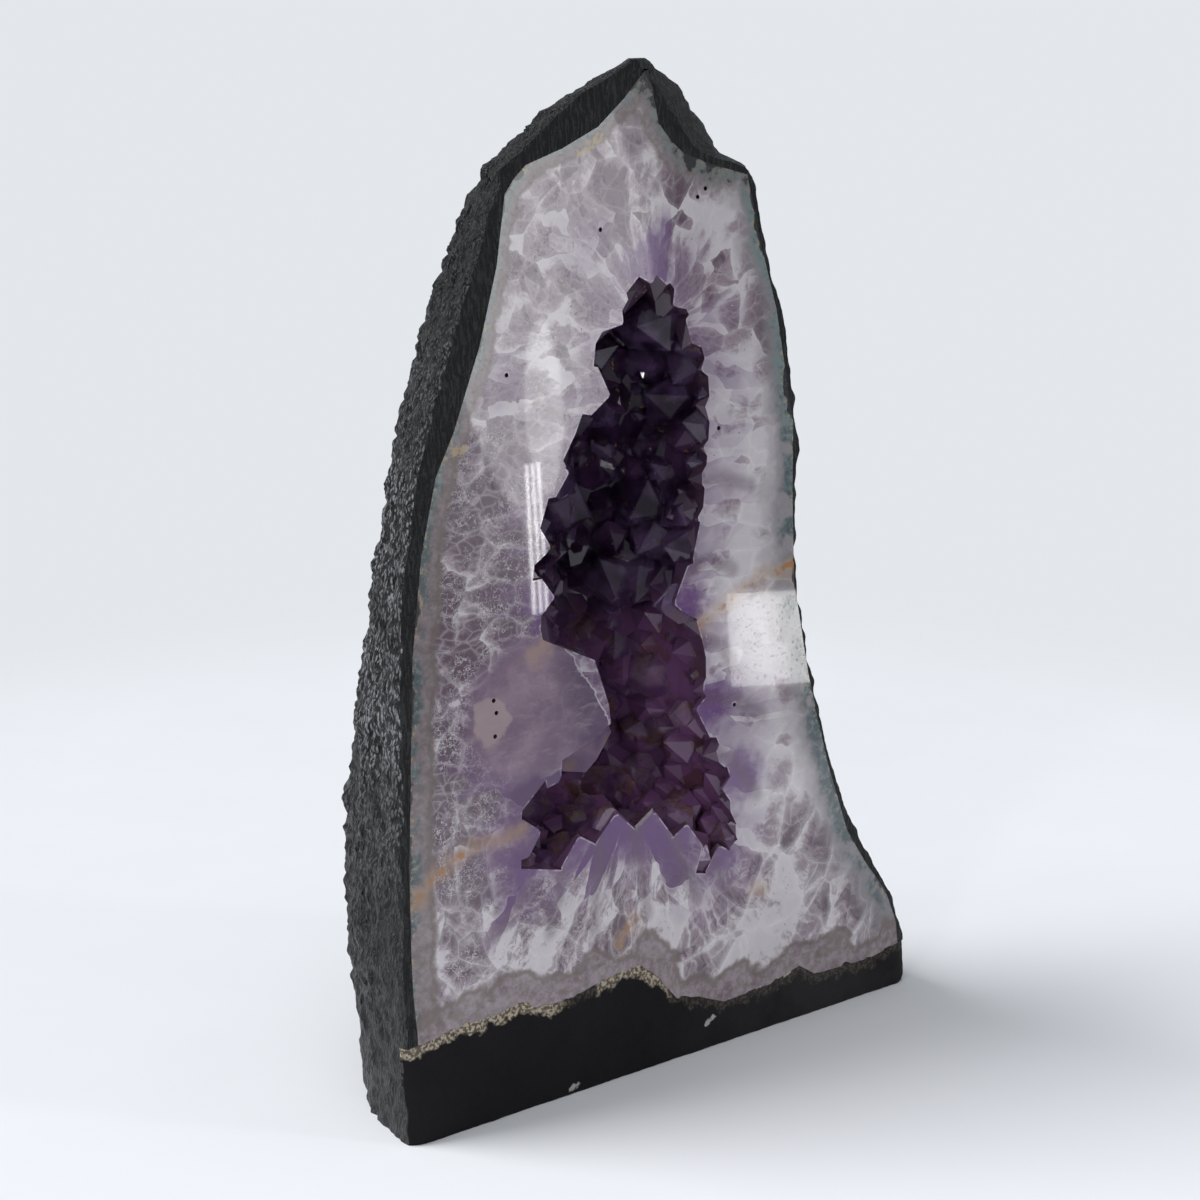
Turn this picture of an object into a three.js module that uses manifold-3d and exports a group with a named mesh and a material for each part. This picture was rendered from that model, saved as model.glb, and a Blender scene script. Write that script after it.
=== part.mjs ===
// Amethyst "cathedral" geode: one half of a basalt nodule, sawn through and polished
// on its front face, standing on a cast cement foot. Three separate materials stay
// three solids: the rough rock rind round the back, the quartz and amethyst lining
// that grew inside it as one mass, and the cement foot under both.
//
// Units are millimetres, +Z is up, +Y points to the back of the stone. The stone is
// drawn with the foot's front left corner at the origin, and is moved at the end so
// that the middle of its box, at floor level, is the origin.

import * as THREE from 'three';
import { mergeVertices } from 'three/addons/utils/BufferGeometryUtils.js';
import Module from 'manifold-3d';

const wasm = await Module();
wasm.setup();

// ---- Driving dimensions ----------------------------------------------------------

const FACE_LEAN = 3;          // degrees that the polished face leans back
const FITTING_GAP = 0.4;      // air between two pieces that touch
const REACH = 80;             // how far solids run past the face before it is cut
const BOX = 1200;             // side of the large cutting blocks
const CURVE_STEPS = 400;      // fineness of the curves that stations are read from
const DEPTH_STEPS = 200;      // fineness of the stone's depth where the quartz reads it
const WELD = 1e-4;            // points this close are one

// The whole stone by height: left and right edge at the face, and depth behind it.
const STONE = [
  { z: 0, left: 0, right: 262, depth: 123 },
  { z: 38, left: -1, right: 256, depth: 125 },
  { z: 66, left: -1, right: 237, depth: 122 },
  { z: 95, left: 0, right: 223, depth: 118 },
  { z: 150, left: 2, right: 208, depth: 99 },
  { z: 200, left: 5, right: 200, depth: 80 },
  { z: 250, left: 14, right: 202, depth: 69 },
  { z: 300, left: 32, right: 195, depth: 66 },
  { z: 335, left: 47, right: 185, depth: 58 },
  { z: 358, left: 56, right: 180, depth: 46 },
  { z: 368, left: 65, right: 171, depth: 37 },
  { z: 380, left: 81, right: 161, depth: 29 },
  { z: 392, left: 101, right: 153, depth: 22 },
  { z: 399, left: 116, right: 147, depth: 16 },
  { z: 404, left: 127, right: 139, depth: 9 },
];
const STONE_RINGS = 22;
const STONE_SIDES = 24;
const RING_CROWDING = 1.25;   // above 1, rings crowd towards the top
const LUMP = 1.4;             // height of the lumps on the rough skin
// Ripples on the skin: how many run round the back, and how slowly they climb.
const RIPPLES = [{ round: 7, climb: 31 }, { round: 13, climb: -17 }];
const ROLLS = { round: 4, climb: 9, sway: 3 };
const RIND_BACK = 7;          // thickness of the rock behind the quartz

// The quartz by height: its left and right edge at the face, inside the rock rind.
const QUARTZ = [
  { z: -1, left: 4, right: 258 },
  { z: 30, left: 4, right: 255 },
  { z: 45, left: 4, right: 249 },
  { z: 61, left: 3, right: 237 },
  { z: 77, left: 3, right: 227 },
  { z: 110, left: 4, right: 216 },
  { z: 150, left: 7, right: 206 },
  { z: 190, left: 10, right: 199 },
  { z: 228, left: 16, right: 199 },
  { z: 256, left: 24, right: 200 },
  { z: 272, left: 33, right: 197 },
  { z: 302, left: 46, right: 192 },
  { z: 330, left: 55, right: 184 },
  { z: 356, left: 60, right: 178 },
  { z: 361, left: 64, right: 160 },
  { z: 366, left: 70, right: 146 },
  { z: 371, left: 87, right: 140 },
  { z: 378, left: 104, right: 134 },
  { z: 388, left: 117, right: 132 },
  { z: 398, left: 127, right: 131 },
];
const QUARTZ_SIDES = 14;

// The broken shoulder right of the peak: two broken planes meet in a notch.
const BREAK_PLANES = [
  [[129, 20.7, 394], [150, 19, 364], [152, 31, 392]],
  [[150, 19, 364], [181, 18.8, 358], [170, 30, 370]],
];

// The open cavity by height: left and right edge at the face, and depth behind it.
const CAVITY = [
  { z: 76, left: 148, right: 166, depth: 5 },
  { z: 86, left: 68, right: 170, depth: 14 },
  { z: 96, left: 57, right: 168, depth: 36 },
  { z: 112, left: 54, right: 163, depth: 60 },
  { z: 130, left: 62, right: 156, depth: 67 },
  { z: 145, left: 84, right: 150, depth: 65 },
  { z: 162, left: 84, right: 151, depth: 60 },
  { z: 180, left: 74, right: 148, depth: 54 },
  { z: 198, left: 66, right: 143, depth: 50 },
  { z: 222, left: 68, right: 150, depth: 45 },
  { z: 250, left: 79, right: 154, depth: 40 },
  { z: 276, left: 96, right: 156, depth: 36 },
  { z: 300, left: 101, right: 149, depth: 30 },
  { z: 314, left: 114, right: 140, depth: 19 },
  { z: 321, left: 122, right: 134, depth: 9 },
];
const CAVITY_RINGS = 14;
const CAVITY_SIDES = 12;

// Line between the cement foot and the stone, left to right across the face (x, z).
const FOOT_LINE = [
  [-60, 38], [0, 40], [28, 43], [42, 43], [54, 45], [60, 41], [76, 40], [94, 44],
  [112, 45], [119, 40], [131, 26], [142, 24], [156, 18], [181, 19], [198, 23],
  [207, 17], [239, 16], [262, 20], [330, 22],
];
const FOOT_UNDER = -20;       // the foot block runs on below the floor before cutting

// Crystal points: a six-sided prism with a six-sided pyramid.
const TIP_SLOPE = 0.85;       // height of the pyramid over its radius
const WALL_CRYSTALS = { step: 17, radius: [8.5, 12], stickOut: [7, 14], tilt: 0.22 };
const FACE_STICK_OUT = 0.5;   // beside the face they stick out by this share only
const ROW_PITCH = 0.86;       // rows sit closer than the points along them
const ROW_START = 0.25;       // first point of a row, in steps from the face
const ROW_STAGGER = 0.5;      // every other row is shifted by this many steps
const ROW_STRAY = 0.3;        // and each point strays by up to half of this
const CORE_LIFT = 52;         // floor points look up, and roof points down, by this
const CORE_DEPTH = 0.1;       // they look at a line this share of the depth behind the face
const SEED = 20;

// Large points that the face cuts: tip (x, z), pointing angle from +X, and radius.
const RIM_CRYSTALS = [
  { tip: [128, 317], angle: -80, radius: 8 },
  { tip: [114, 303], angle: -40, radius: 9 },
  { tip: [107, 277], angle: -12, radius: 10 },
  { tip: [86, 250], angle: 4, radius: 9 },
  { tip: [76, 222], angle: -14, radius: 8 },
  { tip: [77, 203], angle: -4, radius: 8 },
  { tip: [104, 147], angle: -26, radius: 24 },
  { tip: [66, 112], angle: 8, radius: 9 },
  { tip: [70, 94], angle: 68, radius: 7 },
  { tip: [84, 107], angle: 96, radius: 12 },
  { tip: [103, 113], angle: 88, radius: 13 },
  { tip: [122, 109], angle: 80, radius: 13 },
  { tip: [139, 100], angle: 74, radius: 11 },
  { tip: [155, 87], angle: 100, radius: 10 },
  { tip: [157, 110], angle: 172, radius: 8 },
  { tip: [144, 146], angle: 168, radius: 12 },
  { tip: [134, 190], angle: 196, radius: 14 },
  { tip: [147, 223], angle: 184, radius: 11 },
  { tip: [151, 251], angle: 176, radius: 10 },
  { tip: [151, 282], angle: 190, radius: 11 },
  { tip: [138, 308], angle: 214, radius: 8 },
];
const RIM_DEPTH = 0.12;       // how far behind the face their tips lie, in radii
const RIM_LEAN = [-0.21, 0.09]; // their lean, towards and away from the open side
const RIM_LENGTH = 3.2;       // their length, in radii

// ---- Small tools -----------------------------------------------------------------

const radians = THREE.MathUtils.degToRad;
const faceY = (z) => z * Math.tan(radians(FACE_LEAN));

// The same seeded numbers in [0, 1) on every run.
function seededRandom(seed) {
  let state = seed;
  return () => {
    state = (state * 1664525 + 1013904223) % 4294967296;
    return state / 4294967296;
  };
}

function between(range, share) {
  return THREE.MathUtils.lerp(range[0], range[1], share);
}

// Straight-line value from a list of [height, value] pairs.
function valueAt(pairs, z) {
  const last = pairs.length - 1;
  const i = Math.max(1, pairs.findIndex((pair) => pair[0] >= z));
  const k = pairs[last][0] < z ? last : i;
  const [z0, v0] = pairs[k - 1];
  const [z1, v1] = pairs[k];
  return between([v0, v1], THREE.MathUtils.clamp((z - z0) / (z1 - z0), 0, 1));
}

// Stations at evenly spread steps up one smooth curve through the given ones.
function stationsAlong(stations, count) {
  const low = stations[0].z;
  const high = stations[stations.length - 1].z;
  const levels = Array.from({ length: count }, (_, i) => (
    { z: low + (high - low) * topSpread(i / (count - 1)) }));
  for (const key of Object.keys(stations[0]).filter((name) => name !== 'z')) {
    const knots = stations.map((s) => new THREE.Vector3(s[key], 0, s.z));
    const curve = new THREE.CatmullRomCurve3(knots, false, 'centripetal');
    const pairs = curve.getPoints(CURVE_STEPS).map((p) => [p.z, p.x]);
    levels.forEach((level) => { level[key] = valueAt(pairs, level.z); });
  }
  return levels;
}

// Rings crowd towards the top, where the outline turns fastest.
const topSpread = (share) => 1 - (1 - share) ** RING_CROWDING;

// A level ring: straight walls in front of the face, half an ellipse behind it.
function ring({ z, left, right, depth }, sides, bump = () => 0) {
  const middle = (left + right) / 2;
  const half = (right - left) / 2;
  const points = [new THREE.Vector3(left, -REACH, z)];
  for (let i = 0; i <= sides; i += 1) {
    const turn = Math.PI * i / sides;
    const push = 1 + bump(turn, z) / half;
    const x = middle - half * Math.cos(turn) * push;
    const y = faceY(z) + depth * Math.sin(turn) * push;
    points.push(new THREE.Vector3(x, y, z));
  }
  points.push(new THREE.Vector3(right, -REACH, z));
  return points;
}

// A closed solid through a stack of level rings that all have the same point count.
function loft(rings) {
  const count = rings[0].length;
  const positions = rings.flat().flatMap((p) => [p.x, p.y, p.z]);
  const index = [];
  for (let level = 0; level + 1 < rings.length; level += 1) {
    for (let i = 0; i < count; i += 1) {
      const a = level * count + i;
      const b = level * count + (i + 1) % count;
      index.push(a, a + count, b, b, a + count, b + count);
    }
  }
  const top = (rings.length - 1) * count;
  for (let i = 1; i + 1 < count; i += 1) {
    index.push(0, i, i + 1);
    index.push(top, top + i + 1, top + i);
  }
  const geometry = new THREE.BufferGeometry();
  geometry.setAttribute('position', new THREE.Float32BufferAttribute(positions, 3));
  geometry.setIndex(index);
  return geometry;
}

function solidFrom(geometry) {
  const bare = geometry.clone();
  bare.deleteAttribute('normal');
  bare.deleteAttribute('uv');
  const merged = mergeVertices(bare, WELD);
  const mesh = new wasm.Mesh({
    numProp: 3,
    vertProperties: new Float32Array(merged.attributes.position.array),
    triVerts: new Uint32Array(merged.index.array),
  });
  return new wasm.Manifold(mesh);
}

function geometryFrom(solid) {
  const mesh = solid.getMesh();
  const geometry = new THREE.BufferGeometry();
  geometry.setAttribute('position', new THREE.BufferAttribute(mesh.vertProperties, 3));
  geometry.setIndex(new THREE.BufferAttribute(mesh.triVerts, 1));
  return geometry;
}

// A large block whose face turns its back on `normal` and passes through `point`.
function blockBehind(point, normal) {
  const block = new THREE.BoxGeometry(BOX, BOX, BOX);
  block.translate(0, 0, BOX / 2);
  const turn = new THREE.Quaternion();
  turn.setFromUnitVectors(new THREE.Vector3(0, 0, 1), normal.clone().normalize());
  block.applyQuaternion(turn);
  block.translate(point.x, point.y, point.z);
  return solidFrom(block);
}

// ---- The stone's outer and inner shapes ------------------------------------------

// Long lumps that run up the rough skin, fading out at the sawn face.
function skinLump(turn, z) {
  const ripples = RIPPLES.map(({ round, climb }) => Math.sin(turn * round + z / climb));
  const roll = Math.sin(z / ROLLS.climb + ROLLS.sway * Math.sin(turn * ROLLS.round));
  return LUMP * Math.sin(turn) * (ripples[0] + ripples[1] + roll) / 2;
}

function stoneShape() {
  const levels = stationsAlong(STONE, STONE_RINGS);
  return solidFrom(loft(levels.map((level) => ring(level, STONE_SIDES, skinLump))));
}

// The space inside the rind, drawn in by `slack` all round.
function quartzShape(slack) {
  const depths = stationsAlong(STONE, DEPTH_STEPS).map((level) => [level.z, level.depth]);
  const levels = QUARTZ.map(({ z, left, right }) => ({
    z,
    left: left + slack,
    right: right - slack,
    depth: valueAt(depths, z) - RIND_BACK - slack,
  }));
  levels[levels.length - 1].z -= slack;
  return solidFrom(loft(levels.map((level) => ring(level, QUARTZ_SIDES))));
}

function faceBlock() {
  const back = new THREE.Vector3(0, Math.cos(radians(FACE_LEAN)), -Math.sin(radians(FACE_LEAN)));
  return blockBehind(new THREE.Vector3(0, 0, 0), back);
}

// Everything on the open side of both broken planes.
function breakBlock() {
  const blocks = BREAK_PLANES.map((plane) => {
    const [a, b, c] = plane.map((p) => new THREE.Vector3(...p));
    return blockBehind(a, b.clone().sub(a).cross(c.clone().sub(a)));
  });
  return blocks[0].intersect(blocks[1]);
}

function footBlock(raise) {
  const outline = FOOT_LINE.map(([x, z]) => new THREE.Vector2(x, z + raise));
  const [firstX] = FOOT_LINE[0];
  const [lastX] = FOOT_LINE[FOOT_LINE.length - 1];
  outline.push(new THREE.Vector2(lastX, FOOT_UNDER), new THREE.Vector2(firstX, FOOT_UNDER));
  const block = new THREE.ExtrudeGeometry(new THREE.Shape(outline), {
    depth: BOX, bevelEnabled: false,
  });
  block.rotateX(Math.PI / 2);
  block.translate(0, BOX / 2, 0);
  return solidFrom(block);
}

// ---- Cavity and crystals ---------------------------------------------------------

// A crystal of the given radius with its tip at `tip`, pointing along `aim`.
function crystal(tip, aim, radius, length, spin) {
  const shoulder = -radius * TIP_SLOPE;
  const profile = [
    new THREE.Vector2(0, -length), new THREE.Vector2(radius, -length),
    new THREE.Vector2(radius, shoulder), new THREE.Vector2(0, 0),
  ];
  const point = new THREE.LatheGeometry(profile, 6);
  point.rotateY(spin);
  const turn = new THREE.Quaternion();
  turn.setFromUnitVectors(new THREE.Vector3(0, 1, 0), aim.clone().normalize());
  point.applyQuaternion(turn);
  point.translate(tip.x, tip.y, tip.z);
  return solidFrom(point);
}

// Levels of the cavity spaced evenly along its back wall, floor to roof.
function wallRows(spacing) {
  const fine = stationsAlong(CAVITY, CURVE_STEPS);
  const rows = [];
  let walked = spacing / 2;
  fine.forEach((level, i) => {
    const last = fine[Math.max(0, i - 1)];
    walked += Math.hypot(level.z - last.z, level.depth - last.depth);
    if (walked < spacing) return;
    walked -= spacing;
    rows.push(level);
  });
  return rows;
}

// Points all over the cavity wall, each aimed at the open middle of the cavity.
function wallCrystals() {
  const random = seededRandom(SEED);
  const low = CAVITY[0].z;
  const high = CAVITY[CAVITY.length - 1].z;
  const { step, radius, stickOut, tilt } = WALL_CRYSTALS;
  const crystals = [];
  wallRows(step * ROW_PITCH).forEach(({ z, left, right, depth }, row) => {
    const middle = (left + right) / 2;
    const half = (right - left) / 2;
    const count = Math.max(1, Math.round(Math.PI * (half + depth) / 2 / step));
    const coreZ = THREE.MathUtils.clamp(z, low + CORE_LIFT, high - CORE_LIFT);
    const core = new THREE.Vector3(middle, faceY(coreZ) + depth * CORE_DEPTH, coreZ);
    for (let i = 0; i < count; i += 1) {
      const stray = ROW_STRAY * (random() - 0.5);
      const turn = Math.PI * (i + ROW_START + ROW_STAGGER * (row % 2) + stray) / count;
      const wall = new THREE.Vector3(
        middle - half * Math.cos(turn), faceY(z) + depth * Math.sin(turn), z);
      const aim = core.clone().sub(wall).normalize();
      const tilting = new THREE.Vector3(random() - 0.5, random() - 0.5, random() - 0.5);
      aim.addScaledVector(tilting, 2 * tilt).normalize();
      const size = between(radius, random());
      const calm = between([FACE_STICK_OUT, 1], Math.sin(turn));
      const out = between(stickOut, random()) * calm;
      const tip = wall.clone().addScaledVector(aim, out);
      crystals.push(crystal(tip, aim, size, out + size, random() * Math.PI / 3));
    }
  });
  return crystals;
}

function rimCrystals() {
  const random = seededRandom(SEED + 1);
  return RIM_CRYSTALS.map(({ tip, angle, radius }) => {
    const [x, z] = tip;
    const place = new THREE.Vector3(x, faceY(z) + RIM_DEPTH * radius, z);
    const lean = between(RIM_LEAN, random());
    const aim = new THREE.Vector3(
      Math.cos(radians(angle)), lean, Math.sin(radians(angle)));
    return crystal(place, aim, radius, RIM_LENGTH * radius, random() * Math.PI / 3);
  });
}

function cavityShape() {
  const levels = stationsAlong(CAVITY, CAVITY_RINGS);
  return solidFrom(loft(levels.map((level) => ring(level, CAVITY_SIDES))));
}

// ---- The three pieces ------------------------------------------------------------

const behindFace = faceBlock();
const brokenOff = breakBlock();
const stone = stoneShape().intersect(behindFace).subtract(brokenOff);

function rockRind() {
  const hollow = quartzShape(0);
  return stone.subtract(hollow).subtract(footBlock(FITTING_GAP));
}

function crystalLining() {
  const mass = quartzShape(FITTING_GAP);
  let lining = mass.subtract(cavityShape());
  for (const point of [...wallCrystals(), ...rimCrystals()]) {
    lining = lining.add(point.intersect(mass));
  }
  return lining.intersect(behindFace).subtract(brokenOff).subtract(footBlock(FITTING_GAP));
}

function cementFoot() {
  return stone.intersect(footBlock(0));
}

// ---- Assembly --------------------------------------------------------------------

const MATERIALS = {
  rock: { color: 0x2b2c2e, roughness: 0.7, metalness: 0 },
  crystal: { color: 0x9c86b4, roughness: 0.2, metalness: 0 },
  cement: { color: 0x1d1d1f, roughness: 0.85, metalness: 0 },
};

const PIECES = [
  ['rock_rind', rockRind(), MATERIALS.rock],
  ['crystal_lining', crystalLining(), MATERIALS.crystal],
  ['cement_foot', cementFoot(), MATERIALS.cement],
];

const geode = new THREE.Group();
for (const [name, solid, look] of PIECES) {
  const mesh = new THREE.Mesh(geometryFrom(solid), new THREE.MeshStandardMaterial(look));
  mesh.name = name;
  geode.add(mesh);
}

const bounds = new THREE.Box3().setFromObject(geode);
const centre = bounds.getCenter(new THREE.Vector3());
geode.children.forEach((mesh) => mesh.geometry.translate(-centre.x, -centre.y, -bounds.min.z));

export default geode;
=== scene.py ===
"""A polished amethyst geode on a black cement foot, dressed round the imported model.

The stone is drawn in millimetres as (across, behind, up): across and up lie in the
polished face, measured from the foot's front left corner, and behind is the depth
behind the face. `placed` turns such points into metres in the model's frame.
"""
import math
import random

import bmesh
import bpy
import numpy as np
from mathutils import Matrix, Vector, kdtree, noise
from mathutils.bvhtree import BVHTree


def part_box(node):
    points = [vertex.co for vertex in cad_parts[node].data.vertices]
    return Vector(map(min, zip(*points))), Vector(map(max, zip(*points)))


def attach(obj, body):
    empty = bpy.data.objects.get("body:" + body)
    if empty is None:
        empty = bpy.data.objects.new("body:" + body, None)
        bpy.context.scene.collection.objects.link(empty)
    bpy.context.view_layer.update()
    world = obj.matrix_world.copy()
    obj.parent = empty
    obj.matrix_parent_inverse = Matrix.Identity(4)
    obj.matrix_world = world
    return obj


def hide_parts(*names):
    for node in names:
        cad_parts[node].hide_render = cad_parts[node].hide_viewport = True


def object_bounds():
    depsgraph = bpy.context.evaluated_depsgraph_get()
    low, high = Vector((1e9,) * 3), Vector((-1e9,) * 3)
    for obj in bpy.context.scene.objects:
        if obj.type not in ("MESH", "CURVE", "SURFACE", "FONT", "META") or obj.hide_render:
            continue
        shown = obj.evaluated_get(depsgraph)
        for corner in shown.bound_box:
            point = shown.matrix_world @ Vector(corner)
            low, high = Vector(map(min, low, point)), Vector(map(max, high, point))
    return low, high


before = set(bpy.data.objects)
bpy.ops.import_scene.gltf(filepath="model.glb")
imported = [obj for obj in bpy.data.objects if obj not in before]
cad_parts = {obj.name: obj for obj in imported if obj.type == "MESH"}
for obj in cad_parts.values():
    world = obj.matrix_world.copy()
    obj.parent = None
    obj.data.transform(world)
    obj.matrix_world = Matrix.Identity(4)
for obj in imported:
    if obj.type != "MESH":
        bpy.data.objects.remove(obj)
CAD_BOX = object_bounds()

# ---- Frame ----

MM = 0.001
FACE_LEAN = math.tan(math.radians(3))  # the polished face leans back as it rises
FOOT_RIGHT = 262  # across: the foot's right edge
FOOT_LOW, FOOT_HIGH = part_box("cement_foot")
ORIGIN = Vector((FOOT_HIGH.x - FOOT_RIGHT * MM, FOOT_LOW.y, 0))
TOP = CAD_BOX[1].z / MM
SEED = 11

# Middle line of the open cavity, low end and high end, as (across, behind, up).
SPINE = (np.array([112, 8, 120]), np.array([128, 8, 300]))


def placed(points):
    """Stone coordinates in millimetres to metres in the model's frame."""
    points = np.asarray(points, float)
    across, behind, up = points[..., 0], points[..., 1], points[..., 2]
    return np.stack([
        ORIGIN.x + across * MM,
        ORIGIN.y + (behind + up * FACE_LEAN) * MM,
        up * MM,
    ], axis=-1)


def unplaced(points):
    """Metres in the model's frame to stone coordinates in millimetres."""
    points = np.asarray(points, float)
    up = points[..., 2] / MM
    across = (points[..., 0] - ORIGIN.x) / MM
    behind = (points[..., 1] - ORIGIN.y) / MM - up * FACE_LEAN
    return np.stack([across, behind, up], axis=-1)


# ---- Mesh tools ----

SAME_POINT = 1e-7  # metres


def new_object(name, data):
    """A new object in the scene that shows this mesh, light or camera."""
    piece = bpy.data.objects.new(name, data)
    bpy.context.scene.collection.objects.link(piece)
    return piece


def solid(name, points, faces):
    """A closed mesh object from stone coordinates, with its faces pointing out."""
    mesh = bpy.data.meshes.new(name)
    mesh.from_pydata(placed(points).tolist(), [], faces)
    shape = bmesh.new()
    shape.from_mesh(mesh)
    bmesh.ops.recalc_face_normals(shape, faces=shape.faces)
    shape.to_mesh(mesh)
    shape.free()
    return new_object(name, mesh)


def stack(name, rings):
    """A closed solid through a stack of rings, an array of (ring, point, coordinate)."""
    count, size = rings.shape[:2]
    here = np.arange(size)
    after = (here + 1) % size
    faces = []
    for level in range(count - 1):
        low, high = level * size, (level + 1) * size
        faces += np.stack([low + here, high + here, high + after, low + after], 1).tolist()
    first, last = count * size, count * size + 1
    top = (count - 1) * size
    faces += [[first, a, b] for a, b in zip(here.tolist(), after.tolist())]
    faces += [[last, top + b, top + a] for a, b in zip(here.tolist(), after.tolist())]
    ends = np.stack([rings[0].mean(0), rings[-1].mean(0)])
    return solid(name, np.concatenate([rings.reshape(-1, 3), ends]), faces)


def combine(piece, operation, tools, keep=False):
    """Joins or cuts a closed mesh by others; the others are used up unless kept."""
    group = bpy.data.collections.new("tools")
    for tool in tools:
        group.objects.link(tool)
    change = piece.modifiers.new("change", "BOOLEAN")
    change.solver = "MANIFOLD"
    change.operation = operation
    change.operand_type = "COLLECTION"
    change.collection = group
    graph = bpy.context.evaluated_depsgraph_get()
    changed = bpy.data.meshes.new_from_object(piece.evaluated_get(graph))
    piece.modifiers.clear()
    piece.data = changed
    bpy.data.collections.remove(group)
    if not keep:
        discard(tools)
    return piece


def discard(objects):
    """Removes objects with their meshes."""
    for obj in objects:
        mesh = obj.data
        bpy.data.objects.remove(obj)
        bpy.data.meshes.remove(mesh)


def copy_of(piece, name):
    return new_object(name, piece.data.copy())


def cad_copy(node):
    """The node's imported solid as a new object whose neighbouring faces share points."""
    shape = bmesh.new()
    shape.from_mesh(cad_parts[node].data)
    bmesh.ops.remove_doubles(shape, verts=shape.verts, dist=SAME_POINT)
    mesh = bpy.data.meshes.new(node + "_copy")
    shape.to_mesh(mesh)
    shape.free()
    return new_object(mesh.name, mesh)


def vectors_of(items, name):
    """One vector property of all a mesh's points or faces, as rows."""
    flat = np.empty(len(items) * 3)
    items.foreach_get(name, flat)
    return flat.reshape(-1, 3)


def points_of(mesh):
    """The mesh's points in stone coordinates."""
    return unplaced(vectors_of(mesh.vertices, "co"))


def smoothed(values, passes, axis):
    """Softens an array along one axis, leaving its ends in place."""
    values = np.moveaxis(values, axis, 0)
    for _ in range(passes):
        wide = np.concatenate([values[:1], values, values[-1:]])
        values = (wide[:-2] + 2 * wide[1:-1] + wide[2:]) / 4
    return np.moveaxis(values, 0, axis)


def filled(values):
    """Gives each missing reading the nearest ones' value, along the first axis."""
    rows = np.arange(len(values))
    flat = values.reshape(len(values), -1)
    for column in flat.T:
        known = ~np.isnan(column)
        column[:] = np.interp(rows, rows[known], column[known])
    return flat.reshape(values.shape)


def eased(value, low, high):
    """0 up to low, 1 from high on, with a soft change between."""
    share = np.clip((value - low) / (high - low), 0, 1)
    return share * share * (3 - 2 * share)


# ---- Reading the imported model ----

FAR = 500  # rays from outside start this far away
EDGE_DEPTH = 0.5  # outlines are read this far behind the face


def search_tree(*nodes):
    """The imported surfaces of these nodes, ready to cast rays at."""
    points, faces = [], []
    for node in nodes:
        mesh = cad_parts[node].data
        start = len(points)
        points += [v.co.copy() for v in mesh.vertices]
        faces += [[start + i for i in face.vertices] for face in mesh.polygons]
    return BVHTree.FromPolygons(points, faces)


def reading(tree, start, heading):
    """Distance in millimetres from a point to the first surface that way, or NaN."""
    hit = tree.ray_cast(Vector(placed(start)), Vector(heading))
    return np.nan if hit[0] is None else hit[3] / MM


def radii_around(tree, centres, heights, turns, outward):
    """Distance from each level's centre to the wall, for turns from left to right."""
    radii = np.empty((len(heights), len(turns)))
    for row, (centre, up) in enumerate(zip(centres, heights)):
        for column, turn in enumerate(turns):
            heading = np.array([-math.cos(turn), math.sin(turn), 0])
            middle = np.array([centre, EDGE_DEPTH, up])
            if outward:
                radii[row, column] = reading(tree, middle, heading)
            else:
                start = middle + heading * FAR
                radii[row, column] = FAR - reading(tree, start, -heading)
    return radii


def rings_around(centres, heights, turns, radii, front):
    """Closed rings: the wall from left to right, then straight across in front."""
    across = centres[:, None] - np.cos(turns) * radii
    behind = EDGE_DEPTH + np.sin(turns) * radii
    up = np.broadcast_to(heights[:, None], radii.shape)
    wall = np.stack([across, behind, up], axis=-1)
    left, right = wall[:, :1].copy(), wall[:, -1:].copy()
    left[..., 1] = right[..., 1] = -front
    return np.concatenate([left, wall, right], axis=1)


# ---- The stone's outer skin ----

SKIN_ROW = 1.4  # height of one row of the skin
SKIN_TURNS = 236  # points round the back, left edge to right edge
SKIN_SOFTEN = 16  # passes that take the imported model's facets off
OUTLINE_SOFTEN = 2  # passes over the outline at the face
CROWN, CROWN_POWER = 15, 0.75  # the topmost millimetres close to a blunt peak
FRONT_REACH = 6  # how far solids run out in front of the face before the cut
SWELL = (26, 2.2)  # size and height of the broad swellings
LUMPS = (5, 9, 2.4)  # width, length and height of the long lumps
GRAINS = (3, 5.2, 2.6)
KNOBS = (13, 0.17, 9)  # spacing, size as a share of that, and steepness
CALM = 0.55  # share of the relief left at the foot and at the sawn edge
CALM_FOOT = 70  # full relief from this height up
CALM_EDGE = 0.25  # and from this far round from the edge, as a sine
WORN_DEPTH, WORN = 3.5, 1.3  # the sawn edge is worn round by this much
SKIN_START, SKIN_END = 0.3, 0.8  # first and last rows, from the bottom and from the top


def skin_relief(place, turn):
    """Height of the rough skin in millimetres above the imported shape."""
    across, behind, up = place
    size, height = SWELL
    relief = height * noise.noise(Vector(place) / size)
    width, length, height = LUMPS
    relief += height * noise.noise(Vector((across / width, behind / width, up / length)))
    width, length, height = GRAINS
    grain = Vector((across / width, behind / width, up / length))
    relief += height * (0.5 - noise.voronoi(grain)[0][0])
    spacing, size, steepness = KNOBS
    away = noise.voronoi(Vector(place) / spacing)[0][0]
    relief += max(0, size - away) * steepness
    low = CALM + (1 - CALM) * float(eased(up, 0, CALM_FOOT))
    edge = CALM + (1 - CALM) * float(eased(math.sin(turn), 0, CALM_EDGE))
    return relief * low * edge


def stone_outline(tree, heights):
    """Left and right edges of the whole stone at the face, level by level."""
    right_way = Vector((1, 0, 0))
    left = [reading(tree, (-FAR, EDGE_DEPTH, up), right_way) - FAR for up in heights]
    right = [FAR - reading(tree, (FAR, EDGE_DEPTH, up), -right_way) for up in heights]
    return filled(np.array(left)), filled(np.array(right))


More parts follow.
